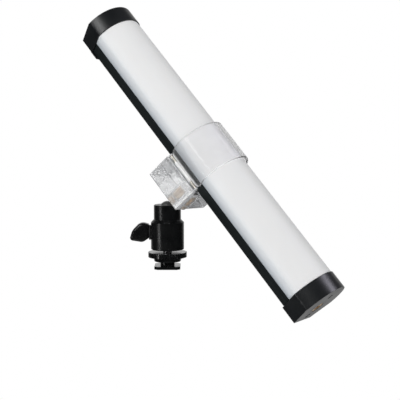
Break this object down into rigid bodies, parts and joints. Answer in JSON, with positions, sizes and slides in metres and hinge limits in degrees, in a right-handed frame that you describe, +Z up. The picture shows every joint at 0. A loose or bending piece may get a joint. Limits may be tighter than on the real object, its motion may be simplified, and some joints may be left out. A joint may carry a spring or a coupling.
{
  "type": "led light tube",
  "caption": "Handheld LED tube light with an opal front and flat black back, held in a clear loop clip on a small ball head with a shoe foot.",
  "frame": {"origin": "middle of the shoe foot's underside", "axes": "+Z up along the ball head's barrel, -X out along the locking knob, +Y away from the side that the picture shows"},
  "size_m": [0.1764, 0.1295, 0.2085],
  "materials": {
    "opal": "opal satin polycarbonate",
    "anodised": "black anodised extrusion",
    "cap": "semi-gloss moulded",
    "brass": "turned",
    "steel": "plated",
    "bare_aluminium": "extruded",
    "board_white": "metal-core board, white solder mask",
    "board_green": "glass-fibre board, green solder mask",
    "cell_sleeve": "shrink sleeve over the can",
    "nylon": "moulded nylon",
    "panel": "moulded",
    "window": "polished acrylic",
    "button": "moulded",
    "clear": "clear polycarbonate",
    "rubber": "moulded silicone rubber",
    "head_black": "black anodised, turned",
    "head_steel": "blackened",
    "knob": "satin moulded"
  },
  "bodies": {
    "base": {"shoe_foot": "head_black", "base_stud": "steel"},
    "washer": {"clamp_washer": "head_black"},
    "wheel": {"lock_wheel": "head_black"},
    "head": {"head_housing": "head_black"},
    "cup": {"pressure_cup": "nylon"},
    "knob_washer": {"knob_washer": "knob"},
    "knob": {"lock_knob": "knob", "knob_screw": "steel"},
    "ball": {"ball_stem": "head_steel", "platform": "head_black", "platform_pad": "rubber"},
    "clip": {"clip_loop": "clear", "clip_block": "clear", "left_clip_pin": "steel", "right_clip_pin": "steel", "clip_insert": "brass", "saddle_pad": "rubber"},
    "tube": {"diffuser": "opal", "back_channel": "anodised", "led_carrier": "bare_aluminium", "led_board": "board_white", "upper_cell": "cell_sleeve", "lower_cell": "cell_sleeve", "upper_cell_contact": "steel", "lower_cell_contact": "steel", "upper_magnet": "steel", "lower_magnet": "steel", "driver_board": "board_green", "control_board": "board_green", "control_panel": "panel", "display_window": "window", "display_module": "panel", "usb_c_port": "steel", "lower_end_cap": "cap", "lower_thread_insert": "brass", "lower_inner_bracket": "nylon", "lower_front_cap_screw": "steel", "lower_back_cap_screw": "steel", "upper_end_cap": "cap", "upper_thread_insert": "brass", "upper_inner_bracket": "nylon", "upper_front_cap_screw": "steel", "upper_back_cap_screw": "steel"},
    "dial": {"control_dial": "button"},
    "mode_button": {"mode_button": "button"},
    "menu_button": {"menu_button": "button"},
    "power_button": {"power_button": "button"}
  },
  "joints": [
    {"name": "head_pan", "type": "hinge", "parent": "base", "child": "head", "pos_m": [0, 0, 0.0133], "axis": [0, 0, 1], "range_deg": [-180, 180]},
    {"name": "ball_tilt", "type": "hinge", "parent": "head", "child": "ball", "pos_m": [0, 0, 0.0416], "axis": [0.4415, 0.8973, 0], "range_deg": [-82.5, 2]},
    {"name": "clip_spin", "type": "hinge", "parent": "ball", "child": "clip", "pos_m": [0, 0, 0.0416], "axis": [0.6615, -0.3255, 0.6756], "range_deg": [-180, 180]},
    {"name": "tube_slide", "type": "slide", "parent": "clip", "child": "tube", "axis": [0.5722, -0.3632, -0.7353], "range_m": [-0.05, 0.09]},
    {"name": "dial_turn", "type": "hinge", "parent": "tube", "child": "dial", "pos_m": [0.0602, -0.03518, 0.01321], "axis": [-0.6615, 0.3255, -0.6756], "continuous": true},
    {"name": "knob_travel", "type": "slide", "parent": "head", "child": "knob_washer", "axis": [-1, 0, 0], "range_m": [0, 0.0008]},
    {"name": "knob_turn", "type": "hinge", "parent": "knob_washer", "child": "knob", "pos_m": [-0.0127, 0, 0.0251], "axis": [-1, 0, 0], "range_deg": [0, 360]},
    {"name": "cup_drop", "type": "slide", "parent": "head", "child": "cup", "axis": [0, 0, -1], "range_m": [0, 0.0008]},
    {"name": "washer_travel", "type": "slide", "parent": "base", "child": "washer", "axis": [0, 0, 1], "range_m": [-0.002, 0.0015]},
    {"name": "wheel_turn", "type": "hinge", "parent": "washer", "child": "wheel", "pos_m": [0, 0, 0.0096], "axis": [0, 0, 1], "range_deg": [-568, 427]},
    {"name": "mode_button_press", "type": "slide", "parent": "tube", "child": "mode_button", "axis": [0.6615, -0.3255, 0.6756], "range_m": [0, 0.0005], "stiffness_N_per_m": 1500, "springref_m": -0.0004},
    {"name": "menu_button_press", "type": "slide", "parent": "tube", "child": "menu_button", "axis": [0.6615, -0.3255, 0.6756], "range_m": [0, 0.0005], "stiffness_N_per_m": 1500, "springref_m": -0.0004},
    {"name": "power_button_press", "type": "slide", "parent": "tube", "child": "power_button", "axis": [0.6615, -0.3255, 0.6756], "range_m": [0, 0.0005], "stiffness_N_per_m": 1500, "springref_m": -0.0004}
  ],
  "couplings": [
    {"joint": "knob_turn", "follows": "knob_travel", "rad_per_m": 7846.1},
    {"joint": "cup_drop", "follows": "knob_travel", "ratio": 1},
    {"joint": "wheel_turn", "follows": "washer_travel", "rad_per_m": 4947.4}
  ]
}
